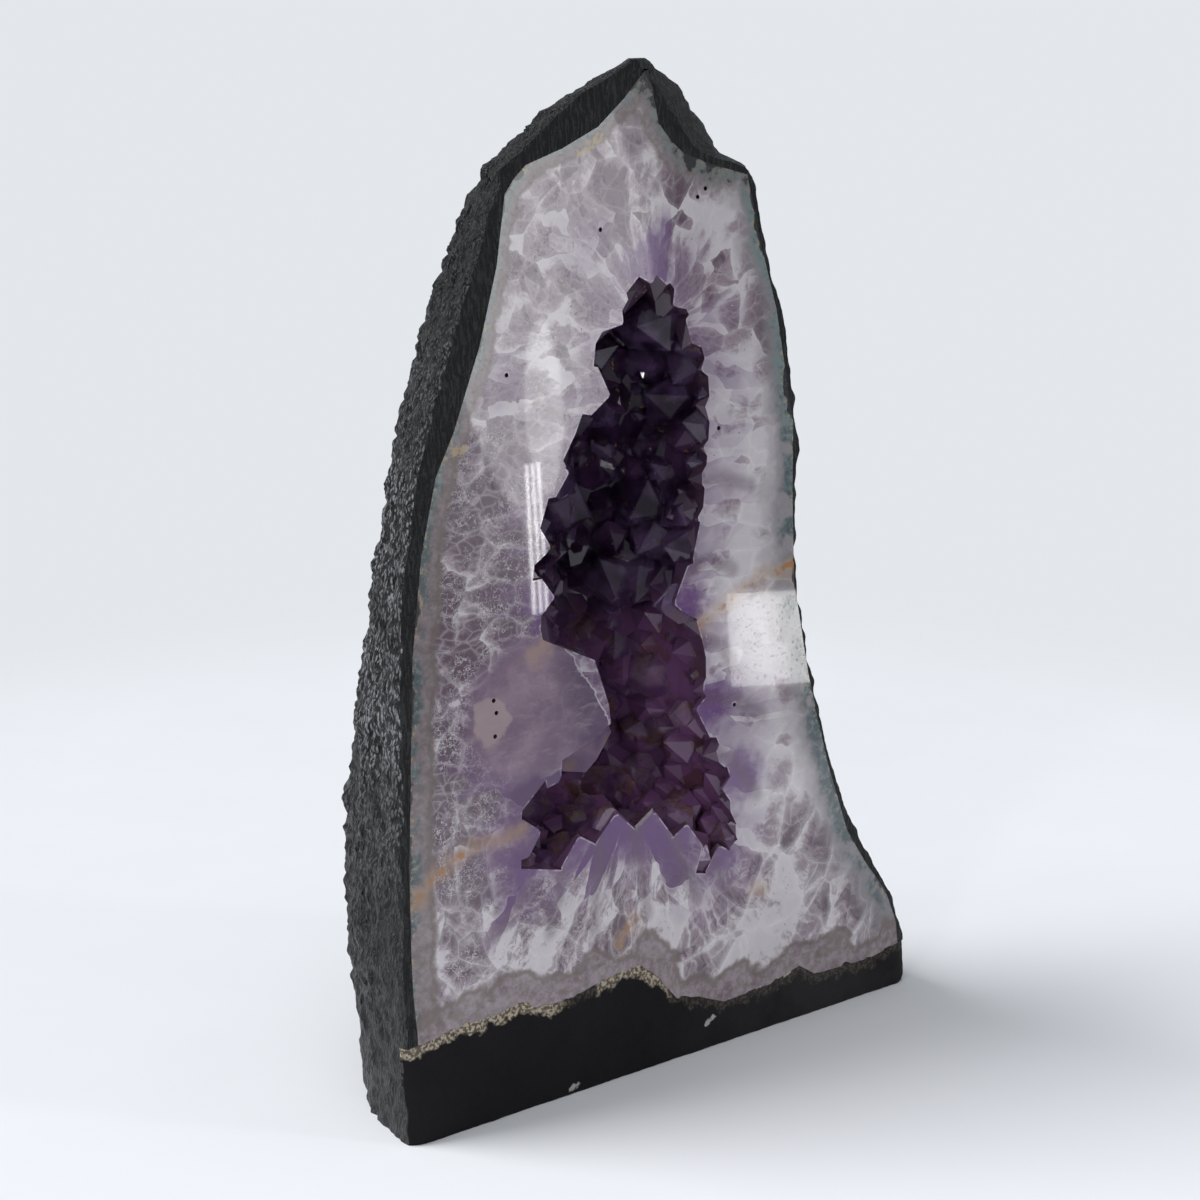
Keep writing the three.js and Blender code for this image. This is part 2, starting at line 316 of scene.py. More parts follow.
def stone_skin(tree):
    """The whole stone, rock and foot in one, with the rough skin in its shape."""
    heights = np.arange(SKIN_START, TOP - SKIN_END, SKIN_ROW)
    turns = np.linspace(0, math.pi, SKIN_TURNS)
    left, right = stone_outline(tree, heights)
    left, right = smoothed(left, OUTLINE_SOFTEN, 0), smoothed(right, OUTLINE_SOFTEN, 0)
    centres = (left + right) / 2
    radii = filled(radii_around(tree, centres, heights, turns, outward=False))
    wide = np.concatenate([radii[:1], radii, radii[-1:]])
    radii = np.maximum(np.maximum(wide[:-2], wide[1:-1]), wide[2:])
    radii = smoothed(smoothed(radii, SKIN_SOFTEN, 0), SKIN_SOFTEN // 2, 1)
    crown = np.clip((heights - TOP + CROWN) / CROWN, 0, 1)
    closing = (1 - crown ** 2) ** CROWN_POWER
    radii *= closing[:, None]
    rings = rings_around(centres, heights, turns, radii, FRONT_REACH)
    for row, share in enumerate(closing ** 0.5):
        for column, turn in enumerate(turns):
            radii[row, column] += skin_relief(rings[row, column + 1], turn) * share
    depth = EDGE_DEPTH + np.sin(turns) * radii
    radii -= WORN * np.clip(1 - depth / WORN_DEPTH, 0, 1) ** 2
    heights[0] = 0
    return stack("stone", rings_around(centres, heights, turns, radii, FRONT_REACH))


# ---- Cutting shapes ----

SLAB_LEFT, SLAB_RIGHT = -25, 290
SLAB_BACK = 260
SLAB_MARGIN = 10  # slabs run this far past the bottom and the top
FACE_STEP = 1.5  # fineness of the polished face
FACE_SINK = 0.2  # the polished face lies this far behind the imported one
WAVES = ((34, 0.015), (90, 0.06))  # size and height of the polish's gentle waves


def face_depth(across, up):
    """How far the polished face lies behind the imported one."""
    spots = [Vector((x, 0, z)) for x, z in np.broadcast(across, up)]
    waves = [sum(height * noise.noise(spot / size) for size, height in WAVES) for spot in spots]
    return FACE_SINK + np.array(waves)


def slab(name, step, top, front):
    """Everything behind an uneven front, given as a depth for places at one height."""
    across = np.arange(SLAB_LEFT, SLAB_RIGHT, step)
    rings = []
    for up in np.arange(-SLAB_MARGIN, top, step):
        ring = np.stack([across, front(across, up), np.full_like(across, up)], axis=-1)
        back = [[SLAB_RIGHT, SLAB_BACK, up], [SLAB_LEFT, SLAB_BACK, up]]
        rings.append(np.concatenate([ring, back]))
    return stack(name, np.array(rings))


def face_slab(name, sink=0):
    """Everything behind the polished face, sunk further by sink."""
    def front(across, up):
        return sink + face_depth(across, up)
    return slab(name, FACE_STEP, TOP + SLAB_MARGIN, front)


FOOT_STEP = 1
FOOT_SLAB_TOP = 62
FOOT_INSET = 0.45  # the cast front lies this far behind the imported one
FOOT_ROUGH = ((9, 0.35), (2.6, 0.28))  # size and height of the cement's bumps
OVER_FOOT = 60  # the foot's top is read from this height
CLOSE_GAP = 0.35  # the foot is raised to meet the stone
CRUST_LIFT = 2.2  # height of the crusty edge's ups and downs
CRUST_SIZE, CRUST_SEED = 6, 3  # width of one bump, and where the noise is read
CORNER, CORNER_DEPTH, CORNER_END = 7, 3, 1.3  # the foot's front corners round off
UNDER_EDGE = 3  # the foot's lower edge rounds off up to here
FOOT_SEED = 7  # where the noise is read


def foot_depth(across, up):
    """How far the foot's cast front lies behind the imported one."""
    spots = [Vector((x, FOOT_SEED, up)) for x in across]
    bumps = [sum(height * noise.noise(spot / size) for size, height in FOOT_ROUGH) for spot in spots]
    side = np.clip(1 - np.minimum(across, FOOT_RIGHT - across) / CORNER, 0, CORNER_END)
    under = np.clip(1 - up / UNDER_EDGE, 0, 1)
    return FOOT_INSET + np.array(bumps) + CORNER_DEPTH * side ** 2 + under ** 2


def foot_line(tree):
    """The top edge of the foot along the face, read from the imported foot."""
    across = np.arange(SLAB_LEFT, SLAB_RIGHT, FOOT_STEP)
    down = Vector((0, FACE_LEAN, 1)) * -1
    tops = np.array([
        OVER_FOOT - reading(tree, (x, EDGE_DEPTH, OVER_FOOT), down) / down.length
        for x in across])
    spots = [Vector((x / CRUST_SIZE, CRUST_SEED, 0)) for x in across]
    ragged = np.array([CRUST_LIFT * max(0, noise.fractal(spot, 0.8, 2, 4)) for spot in spots])
    return across, filled(tops) + CLOSE_GAP + ragged


PRISM_FRONT, PRISM_BOTTOM = -30, -20


def foot_prism(line):
    """Everything below the foot's top edge."""
    rings = [[
        [x, PRISM_FRONT, PRISM_BOTTOM], [x, SLAB_BACK, PRISM_BOTTOM],
        [x, SLAB_BACK, top], [x, PRISM_FRONT, top],
    ] for x, top in zip(*line)]
    return stack("foot_prism", np.array(rings))


HOLLOW_ROW = 2.5
HOLLOW_TURNS = 60
HOLLOW_START, HOLLOW_END = 16, 4  # from the bottom, and from the top
HOLLOW_MIDDLE = ([200, 340, 400], [115, 122, 129])  # up, and across there
HOLLOW_SLACK = 0.3  # the rock closes most of the fitting gap round the quartz


def hollow_shape(tree):
    """The space inside the rock, and its left and right edges at the face."""
    heights = np.arange(HOLLOW_START, TOP - HOLLOW_END, HOLLOW_ROW)
    turns = np.linspace(0, math.pi, HOLLOW_TURNS)
    centres = np.interp(heights, *HOLLOW_MIDDLE)
    radii = filled(radii_around(tree, centres, heights, turns, outward=True)) - HOLLOW_SLACK
    outline = (heights, centres - radii[:, 0], centres + radii[:, -1])
    return stack("hollow", rings_around(centres, heights, turns, radii, FRONT_REACH)), outline


# ---- Crystals ----

POINT_COUNT = 150
POINT_SIZES = (4.5, 18)  # smallest and largest radius of the cavity's small points
POINT_SPREAD = 1.05  # nearest spacing of two points, in their mean radius
POINT_BURIED = 1.6  # how deep a point's root goes, in radii
POINT_SINK = 0.9  # small points stay this far behind the polished face
RIM_FREE = 7  # no small points grow this close to the face
POINT_OUT = (0.25, 0.8)  # how far a point stands out of the druse, in radii
POINT_TRIES = 12  # tries for each point to find a free place
# A point's heading: shares of the way to the cavity's middle, of the wall's normal and of chance.
CORE_SHARE, WALL_SHARE, STRAY = 0.75, 0.5, 0.35
NO_AREA = 1e-9
FACING = 0.1  # faces that look inward at least this much line the cavity
# Ranges of a point's slope, of its ridge's length and of its lean, and two widths, in radii.
POINT_SLOPES, POINT_RIDGES, POINT_LEANS = (0.75, 1.05), (0, 0.45), (-0.25, 0.25)
WIDE, NARROW = 1.12, 0.9
RIDGE_DROP = 0.15  # one end of the ridge is lower, by this share of its length


def crystal_point(tip, aim, radius, length, rng):
    """A six-sided prism that ends in a ridge, with its tip and its heading given."""
    slope = radius * rng.uniform(*POINT_SLOPES)
    ridge = radius * rng.uniform(*POINT_RIDGES)
    lean = radius * rng.uniform(*POINT_LEANS)
    spin = rng.uniform(0, math.pi / 3)
    shape = []
    for drop in (length, slope):
        for side in range(6):
            turn = side * math.pi / 3
            flat = radius * (WIDE if side % 3 else NARROW)
            shape.append((flat * math.cos(turn), flat * math.sin(turn), -drop))
    shape += [(ridge / 2, lean, 0), (-ridge / 2, lean, -RIDGE_DROP * ridge)]
    turn = Vector((0, 0, 1)).rotation_difference(Vector(aim)).to_matrix()
    turn = turn @ Matrix.Rotation(spin, 3, "Z")
    points = np.array([turn @ Vector(p) for p in shape]) + tip
    faces = [[5, 4, 3, 2, 1, 0]]
    faces += [[a, (a + 1) % 6, 6 + (a + 1) % 6, 6 + a] for a in range(6)]
    faces += [[6, 7, 12], [7, 8, 12], [8, 13, 12], [8, 9, 13], [9, 10, 13], [10, 11, 13]]
    faces += [[11, 6, 13], [6, 12, 13]]
    return solid("point", points, faces)


def cavity_wall():
    """Corners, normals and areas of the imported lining's faces that line the cavity."""
    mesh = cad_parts["crystal_lining"].data
    mesh.calc_loop_triangles()
    corners = points_of(mesh)[[list(t.vertices) for t in mesh.loop_triangles]]
    middles = corners.mean(1)
    across = np.cross(corners[:, 1] - corners[:, 0], corners[:, 2] - corners[:, 0])
    areas = np.linalg.norm(across, axis=1) / 2
    normals = across / np.maximum(2 * areas[:, None], NO_AREA)
    inward = core_of(middles) - middles
    facing = (inward * normals).sum(1) > FACING * np.linalg.norm(inward, axis=1)
    inside = facing & (middles[:, 1] > RIM_FREE)
    return corners[inside], normals[inside], areas[inside]


def core_of(points):
    """The nearest point of the cavity's middle line to each point."""
    low, high = SPINE
    along = high - low
    share = np.clip((points - low) @ along / (along @ along), 0, 1)
    return low + share[..., None] * along


def druse_sites(rng):
    """Well spread places on the cavity wall, for the largest points first."""
    corners, normals, areas = cavity_wall()
    odds = np.cumsum(areas) / areas.sum()
    small, large = POINT_SIZES
    places, sizes, sites = np.empty((0, 3)), np.empty(0), []
    for _ in range(POINT_COUNT * POINT_TRIES):
        if len(sites) == POINT_COUNT:
            break
        face = int(np.searchsorted(odds, rng.random()))
        a, b = sorted((rng.random(), rng.random()))
        place = np.array([a, b - a, 1 - b]) @ corners[face]
        radius = large + (small - large) * math.sqrt(len(sites) / POINT_COUNT)
        gaps = np.linalg.norm(places - place, axis=1) / ((sizes + radius) / 2)
        if len(gaps) and gaps.min() < POINT_SPREAD:
            continue
        inward = core_of(place) - place
        inward /= np.linalg.norm(inward)
        stray = np.array([rng.uniform(-1, 1) for _ in range(3)])
        aim = CORE_SHARE * inward + WALL_SHARE * normals[face] + STRAY * stray
        places = np.vstack([places, place])
        sizes = np.append(sizes, radius)
        sites.append((place, aim / np.linalg.norm(aim), radius))
    return sites


def amethyst_points(behind_face):
    """All the small points on the cavity's wall, grown into one solid."""
    rng = random.Random(SEED)
    crystals = []
    for place, aim, radius in druse_sites(rng):
        out = radius * rng.uniform(*POINT_OUT)
        length = out + radius * POINT_BURIED
        crystals.append(crystal_point(place + aim * out, aim, radius, length, rng))
    druse = combine(crystals[0], "UNION", crystals[1:])
    druse.name = "amethyst_points"
    return combine(druse, "INTERSECT", [behind_face])


# ---- Marks on the polished face ----

# Lines on the face as (across, up): iron stains, and brown hairline cracks.
STAINS = [
    [(6, 97), (14, 104), (23, 110), (32, 112), (46, 113), (56, 115)],
    [(202, 198), (194, 197), (183, 195), (170, 191), (158, 185), (148, 180), (137, 176)],
    [(102, 58), (109, 64)],
    [(175, 63), (178, 62)],
    [(66, 182), (84, 196)],
]
CRACKS = [
    [(54, 282), (73, 277), (82, 272), (101, 268)],
    [(69, 291), (75, 279)],
    [(86, 318), (96, 300)],
]
# Outlines of the large crystal that the saw cut through, and of its chalky heart.
BIG_CRYSTAL = [
    (52, 188), (66, 190), (80, 184), (92, 166), (101, 148), (92, 139), (76, 134),
    (58, 134), (40, 142), (33, 156), (36, 174),
]
CHALKY_HEART = [(37, 168), (43, 171), (50, 167), (54, 160), (50, 152), (41, 150), (36, 158)]
# Seams between the crystals that stand along the cavity's floor and sides.
SEAMS = [
    [(75, 98), (73, 84), (68, 70)], [(94, 101), (92, 84), (90, 66)],
    [(112, 103), (114, 86), (117, 66)], [(130, 98), (136, 82), (143, 66)],
    [(146, 92), (154, 76), (163, 62)], [(60, 92), (52, 84), (40, 74)],
    [(97, 119), (84, 124), (66, 121), (50, 113)], [(150, 150), (166, 146), (180, 137)],
    [(152, 128), (166, 118), (176, 104)], [(146, 176), (160, 170), (166, 158)],
    [(140, 202), (154, 206), (166, 200)], [(146, 236), (162, 238), (176, 233)],
]
# Where the stone broke off right of its peak, as a line on the face.
BREAK_EDGE = [(127, 398), (136, 382), (150, 364), (165, 361), (181, 358)]
BREAK_LOW = 345
# Beige grit in a small notch on the left and along the top.
GRIT = [[(28, 262), (36, 265)], [(66, 366), (76, 370)], [(96, 369), (106, 374)]]
# Tips of the points that stand on the cavity's floor and in its sides.
TIPS = [
    [(84, 105), (84, 99)], [(102, 111), (103, 103)], [(121, 107), (119, 99)],
    [(138, 98), (137, 93)], [(155, 86), (156, 82)], [(60, 96), (54, 90)],
    [(80, 202), (73, 200)], [(134, 190), (142, 190)], [(150, 148), (156, 148)],
    [(128, 322), (128, 332)], [(160, 112), (166, 112)],
]
# Small pits in the polish as (across, up).
PINHOLES = [
    (58, 290), (160, 258), (47, 163), (46, 154), (165, 144), (160, 104), (199, 199), (122, 186),
    (46, 168), (152, 349), (156, 352), (104, 340),
]
PINHOLE_RADIUS, PINHOLE_DEPTH, PINHOLE_SIDES = 0.9, 2.5, 9
CAPSULE = 40  # the growth lines start this far from the cavity's middle
FRONT_GAP = 0.35  # faces this near the polish belong to it
# Pale chips in the foot's front.
CHIPS = [[(146, 11), (150, 13)], [(190, 21), (195, 25)], [(75, 2), (79, 4)]]
FOOT_FRONT = 4.5  # the foot's cast front lies within this depth
FLAT = 0.9  # faces of the polish look straight ahead at least this much
RIM_MARGIN = 8  # the cavity's edge is nowhere this close to the rock or the foot
NOWHERE = 1e3  # further than any line on the stone


def line_distance(places, lines):
    """Distance in millimetres from each (across, up) place to the nearest line."""
    nearest = np.full(len(places), NOWHERE)
    for line in lines:
        corners = np.asarray(line, float)
        for start, end in zip(corners[:-1], corners[1:]):
            along = end - start
            share = np.clip((places - start) @ along / (along @ along), 0, 1)
            gap = np.linalg.norm(places - start - share[:, None] * along, axis=1)
            nearest = np.minimum(nearest, gap)
    return nearest


def depth_inside(places, outline):
    """Distance in from a closed outline, negative outside it."""
    corners = np.asarray(outline, float)
    after = np.roll(corners, -1, axis=0)
    gap = line_distance(places, [np.vstack([corners, corners[:1]])])
    x, z = places.T
    inside = np.zeros(len(places), bool)
    for (ax, az), (bx, bz) in zip(corners, after):
        if az != bz:
            inside ^= ((az > z) != (bz > z)) & (x < (bx - ax) * (z - az) / (bz - az) + ax)
    return np.where(inside, gap, -gap)


def pinhole(across, up):
    """A small round drill to take a pit out of the polished face."""
    turns = np.arange(PINHOLE_SIDES) * 2 * math.pi / PINHOLE_SIDES
    ends = [np.stack([
        across + PINHOLE_RADIUS * np.cos(turns), np.full_like(turns, behind),
        up + PINHOLE_RADIUS * np.sin(turns),
    ], axis=-1) for behind in (-PINHOLE_DEPTH, PINHOLE_DEPTH)]
    return stack("pinhole", np.array(ends))


def face_middles(mesh):
    """The middle of each of the mesh's faces, in stone coordinates."""
    return unplaced(vectors_of(mesh.polygons, "center"))


def write_attribute(mesh, name, *readings):
    """Stores up to three readings for each point of the mesh, under one name."""
    vectors = np.zeros((len(mesh.vertices), 3), np.float32)
    for column, values in enumerate(readings):
        vectors[:, column] = values
    layer = mesh.attributes.new(name, "FLOAT_VECTOR", "POINT")
    layer.data.foreach_set("vector", vectors.ravel())


def polished_faces(mesh):
    """True for each face of the mesh that lies in the polish."""
    across, behind, up = face_middles(mesh).T
    gap = np.abs(behind - face_depth(across, up))
    return (gap < FRONT_GAP) & (vectors_of(mesh.polygons, "normal")[:, 1] < -FLAT)


def cavity_distance(mesh, points, polished, rim, foot):
    """Distance from each point to the edge where the polish meets the open cavity."""
    on_face = np.zeros(len(points), bool)
    on_wall = np.zeros(len(points), bool)
    for face, front in zip(mesh.polygons, polished):
        (on_face if front else on_wall)[list(face.vertices)] = True
    clear = (rim > RIM_MARGIN) & (foot > RIM_MARGIN) & (points[:, 2] < BREAK_LOW)
    edge = np.flatnonzero(on_face & on_wall & clear)
    tree = kdtree.KDTree(len(edge))
    for i, point in zip(edge.tolist(), points[edge]):
        tree.insert(point, i)
    tree.balance()
    return np.array([tree.find(point)[2] for point in points])


def mark_quartz(piece, outline, foot_top):
    """Writes what the face's material reads: growth lines, edges and marks."""
    mesh = piece.data
    points = points_of(mesh)
    places = points[:, [0, 2]]
    heights, left, right = outline
    sides = [np.stack([left, heights], 1), np.stack([right, heights], 1)]
    rim = line_distance(places, sides)
    foot = line_distance(places, [np.stack(foot_top, 1)])
    polished = polished_faces(mesh)
    cavity = cavity_distance(mesh, points, polished, rim, foot)
    spine = core_of(np.stack([points[:, 0], np.full(len(points), SPINE[0][1]), points[:, 2]], 1))
    away = places - spine[:, [0, 2]]
    reach = np.linalg.norm(away, axis=1)
    start = spine[:, [0, 2]] + away * (CAPSULE / np.maximum(reach, 1))[:, None]
    stains, cracks, seams, grit, broken, tips = [
        line_distance(places, lines) for lines in (STAINS, CRACKS, SEAMS, GRIT, [BREAK_EDGE], TIPS)]
    section, heart = [depth_inside(places, shape) for shape in (BIG_CRYSTAL, CHALKY_HEART)]
    write_attribute(mesh, "growth", *start.T, reach)
    write_attribute(mesh, "edges", rim, foot, cavity)
    write_attribute(mesh, "marks", stains, cracks, seams)
    write_attribute(mesh, "insides", section, heart, grit)
    write_attribute(mesh, "damage", broken, tips)
    return polished


def mark_foot(piece, foot_top):
    """Writes the depth below the foot's top edge, and tells which faces are in front."""
    mesh = piece.data
    points = points_of(mesh)
    below = np.interp(points[:, 0], *foot_top) - points[:, 2]
    chips = line_distance(points[:, [0, 2]], CHIPS)
    write_attribute(mesh, "edges", below, chips)
    return face_middles(mesh)[:, 1] < FOOT_FRONT


def paint(piece, materials, choice=None):
    """Gives a piece its materials, and each face the one that choice names."""
    mesh = piece.data
    mesh.materials.clear()
    for material in materials:
        mesh.materials.append(material)
    if choice is not None:
        mesh.polygons.foreach_set("material_index", np.asarray(choice, np.int32))
    mesh.update()


# ---- Materials ----

class Look:
    """A material whose nodes are added by short calls, each giving back a socket."""

    def __init__(self, name):
        self.material = bpy.data.materials.new(name)
        self.material.use_nodes = True
        self.tree = self.material.node_tree
        self.shader = self.tree.nodes["Principled BSDF"]
        self.base = PAINT
        position = self.add("TexCoord", {}, "Object")
        self.place = self.vector("SCALE", {0: position, "Scale": 1 / MM})
        x, y, self.up = self.parts(self.place)
        self.across = self.less(x, ORIGIN.x / MM)
        self.behind = self.less(self.less(y, ORIGIN.y / MM), self.product(self.up, FACE_LEAN))

    def add(self, kind, inputs, output=0, **settings):
        node = self.tree.nodes.new("ShaderNode" + kind)
        for name, value in settings.items():
            setattr(node, name, value)
        for name, value in inputs.items():
            self.feed(node.inputs[name], value)
        return node.outputs[output]

    def feed(self, socket, value):
        if isinstance(value, bpy.types.NodeSocket):
            self.tree.links.new(value, socket)
        elif socket.type == "RGBA" and len(value) == 3:
            socket.default_value = (*value, 1)
        else:
            socket.default_value = value

    def finish(self, **inputs):
        """Feeds the shader: each name is one of its sockets with _ for a space."""
        self.feed(self.shader.inputs["Base Color"], self.base)
        for name, value in inputs.items():
            self.feed(self.shader.inputs[name.replace("_", " ")], value)
        return self.material

    def math(self, operation, a, b=0):
        return self.add("Math", {0: a, 1: b}, operation=operation)

    def vector(self, operation, inputs, output=0):
        return self.add("VectorMath", inputs, output, operation=operation)

    def plus(self, a, b):
        return self.math("ADD", a, b)

    def less(self, a, b):
        return self.math("SUBTRACT", a, b)

    def larger(self, a, b):
        return self.math("MAXIMUM", a, b)

    def size_of(self, value):
        return self.math("ABSOLUTE", value)

    def opposite(self, value):
        return self.less(1, value)

    def product(self, first, *others):
        for other in others:
            first = self.math("MULTIPLY", first, other)
        return first

    def scaled(self, value, factor, offset=0):
        return self.add("Math", {0: value, 1: factor, 2: offset}, operation="MULTIPLY_ADD")

    def step(self, value, start, end):
        """0 at start, 1 at end, eased between; start may be the larger of the two."""
        return self.add("MapRange", {0: value, 1: start, 2: end},
                        interpolation_type="SMOOTHSTEP")

    def mix(self, share, a, b):
        return self.add("Mix", {0: share, 6: a, 7: b}, 2, data_type="RGBA")

    def lay(self, base, colour, *shares):
        """The base with a colour laid over it, as strongly as the shares' product."""
        return self.mix(self.product(*shares), base, colour)

    def cover(self, colour, *shares):
        """Lays a colour over the material's own base."""
        self.base = self.lay(self.base, colour, *shares)

    def parts(self, vector):
        node = self.tree.nodes.new("ShaderNodeSeparateXYZ")
        self.tree.links.new(vector, node.inputs[0])
        return tuple(node.outputs)

    def attribute(self, name):
        return self.add("Attribute", {}, "Vector", attribute_name=name)

    def stretched(self, vector, sizes):
        """The vector divided by a size along each axis."""
        return self.vector("MULTIPLY", {0: vector, 1: [1 / size for size in sizes]})

    def wobbled(self, vector, size, amount):
        """The vector pushed about by soft noise."""
        drift = self.add("TexNoise", {"Vector": vector, "Scale": 1 / size, "Detail": 2}, "Color")
        shift = self.vector("SUBTRACT", {0: drift, 1: MID_GREY})
        return self.vector("ADD", {0: vector, 1: self.vector(
            "SCALE", {0: shift, "Scale": 2 * amount})})

    def noise(self, size=1, detail=3, roughness=0.5, over=None):
        """Cloudy noise from 0 to 1 over the place, or over another vector."""
        return self.add("TexNoise", {
            "Vector": self.place if over is None else over, "Scale": 1 / size,
            "Detail": detail, "Roughness": roughness})

    def patches(self, size, start, end, detail=3):
        """Patches of noise, from 0 where it is at start to 1 where it is at end."""
        return self.step(self.noise(size, detail), start, end)

    def swayed(self, value, pattern, swing):
        """The value moved up and down by a pattern that runs from 0 to 1."""
        return self.plus(value, self.scaled(pattern, swing, -swing / 2))

    def ragged(self, value, swing, size, detail=3, roughness=0.5):
        """A distance made uneven by noise of this size."""
        return self.swayed(value, self.noise(size, detail, roughness), swing)

    def cells(self, vector, output="Distance", feature="F1"):
        return self.add("TexVoronoi", {"Vector": vector, "Scale": 1}, output, feature=feature)

    def cell_walls(self, vector):
        return self.cells(vector, feature="DISTANCE_TO_EDGE")

    def bump(self, height, distance, strength):
        return self.add("Bump", {"Height": height, "Distance": distance, "Strength": strength})


MID_GREY = (0.5, 0.5, 0.5)
QUARTZ_IOR, PAINT_IOR = 1.54, 1.5

# Colours of the polished face.
WHITE_QUARTZ = (0.60, 0.555, 0.59)
MILKY_QUARTZ = (0.28, 0.215, 0.258)
LILAC_QUARTZ = (0.10, 0.055, 0.092)
VIOLET_TINT = (0.135, 0.05, 0.18)
VIOLET_QUARTZ = (0.06, 0.014, 0.09)
TIP_VIOLET = (0.105, 0.024, 0.165)
# Painted highlight along the cavity's edge, in patches.
VIOLET_PAINTED_HIGHLIGHT = (0.5, 0.42, 0.56)
VEIN = (0.72, 0.68, 0.71)
BODY_PALE, BODY_LILAC = (0.27, 0.18, 0.245), (0.17, 0.10, 0.17)
BODY_CLEAR, BODY_EDGE = (0.06, 0.028, 0.08), (0.05, 0.017, 0.08)
CHALK = (0.42, 0.33, 0.32)
TURQUOISE, PALE_TURQUOISE = (0.04, 0.075, 0.085), (0.18, 0.235, 0.24)
CHALCEDONY = (0.165, 0.142, 0.137)
BLUE_GREY = (0.25, 0.255, 0.275)
BROWN_AGATE = (0.125, 0.09, 0.075)
OCHRE = (0.40, 0.29, 0.15)
STAIN, STAIN_CORE = (0.42, 0.27, 0.15), (0.38, 0.15, 0.03)
PAINT = (0.012, 0.012, 0.014)
CRACK = (0.10, 0.065, 0.05)

# Zones of the face, each faded in from the first to the second millimetre.
TOP_ZONE = (215, 330)  # up
SHOULDER_ZONE = (215, 300)  # up
FAN_ZONE = (112, 66)  # up: the fibrous fans over the foot
RIGHT_ZONE = (110, 165)  # across
NET_ZONE = (120, 55)  # across: hairline nets on the left
DULL_ZONE = (150, 95)  # across: the polish is duller on the left
CAVITY_FLOOR = (205, 150)  # up

# How milky the quartz is halfway up, and what the top and the fans add to that.
MILK_LEFT, MILK_RIGHT = (0, 0.46, 0.46), (1.18, -0.42, -0.4)

# Sizes of the patterns in millimetres: twice across their long side, then along it.
LARGE_CELL, SMALL_CELL = (11, 11, 17), (4.2, 4.2, 7.5)
FIBRE, COLUMN = (1.3, 1.3, 24), (8, 8, 46)
WISP = (9, 9, 2.2)  # these lie flat instead
LINE_CORE, LINE_MARGIN, MARGIN_STRENGTH = 0.4, 2.2, 0.45  # the first two in widths of a line


def soft_lines(look, distance, width, strength):
    """A thin bright core with a soft margin, along where the distance is nought."""
    core = look.step(distance, width * LINE_CORE, 0)
    margin = look.product(look.step(distance, width * LINE_MARGIN, 0), MARGIN_STRENGTH)
    return look.product(look.larger(core, margin), strength)


def crackle(look, size, width):
    """A net of wandering hairlines: where soft noise crosses its middle value."""
    field = look.noise(size, 4, 0.55, look.wobbled(look.place, size * 0.4, size * 0.2))
    return look.step(look.size_of(look.less(field, 0.5)), width, 0)


def crystal_cells(look, place):
    """Cells of a cut mass of crystals: their tone, a slope across each, and their walls."""
    middle = look.cells(place, "Position")
    colour = look.cells(place, "Color")
    within = look.vector("SUBTRACT", {0: place, 1: middle})
    heading = look.vector("SUBTRACT", {0: colour, 1: MID_GREY})
    slope = look.vector("DOT_PRODUCT", {0: within, 1: heading}, "Value")
    return look.parts(colour)[0], slope, look.cell_walls(place)


def quartz_level(look, top, right, low):
    """How milky the cut quartz is in each part of the face, from 0 to 1."""
    left_level, right_level = [
        look.scaled(top, at_top, look.scaled(low, at_foot, halfway))
        for halfway, at_top, at_foot in (MILK_LEFT, MILK_RIGHT)]
    return look.plus(left_level, look.product(right, look.less(right_level, left_level)))


def swung(look, value, patterns, calm=1):
    """Adds to the value what each pattern has over its middle, times its strength."""
    for pattern, middle, strength in patterns:
        value = look.plus(value, look.product(look.less(pattern, middle), strength, calm))
    return value


def milkiness(look, zones, large, small, grain, fibres, column):
    """How milky the cut quartz is at each spot, in patches, cells, fibres and columns."""
    _, right, low = zones
    calm = look.scaled(look.product(right, look.opposite(look.product(low, 0.6))), -0.5, 1)
    milk = swung(look, quartz_level(look, *zones), (
        (look.noise(30), 0.5, 0.7),
        (look.noise(7, 5, 0.6), 0.5, 0.9),
        (small[0], 0.5, 0.25),
        (small[1], 0, 0.7),
        (grain, 0.5, 0.7),
        (fibres, 0.5, look.scaled(low, 1.9, 0.5)),
        (column, 0.5, look.scaled(low, 0.8, 0.1)),
    ), calm)
    tone, slope, gaps = large
    return swung(look, milk, ((tone, 0.5, 0.6), (slope, 0, 1.7), (gaps, 0.2, -1)))


def quartz_veins(look, zones, gaps, small_gaps, between):
    """Pale lines between the cells and the columns, and hairline nets on the left."""
    top, right, low = zones
    patchy = look.patches(12, 0.38, 0.6)
    sharp = look.scaled(look.product(right, look.opposite(top)), 0.5, look.scaled(top, -0.15, 0.5))
    walls = soft_lines(look, gaps, 0.055, look.product(look.scaled(patchy, 0.5, 0.5), sharp))
    netted = look.scaled(look.step(look.across, *NET_ZONE), 0.7, 0.1)
    nets = look.larger(crackle(look, 7, 0.014), crackle(look, 3.2, 0.02))
    for lines in (
            walls,
            soft_lines(look, small_gaps, 0.07, look.scaled(patchy, -0.3, 0.4)),
            soft_lines(look, between, 0.05, look.scaled(low, 0.55, 0.03)),
            look.product(nets, netted, look.scaled(top, -0.5, 1), patchy)):
        look.cover(VEIN, lines)
    return walls


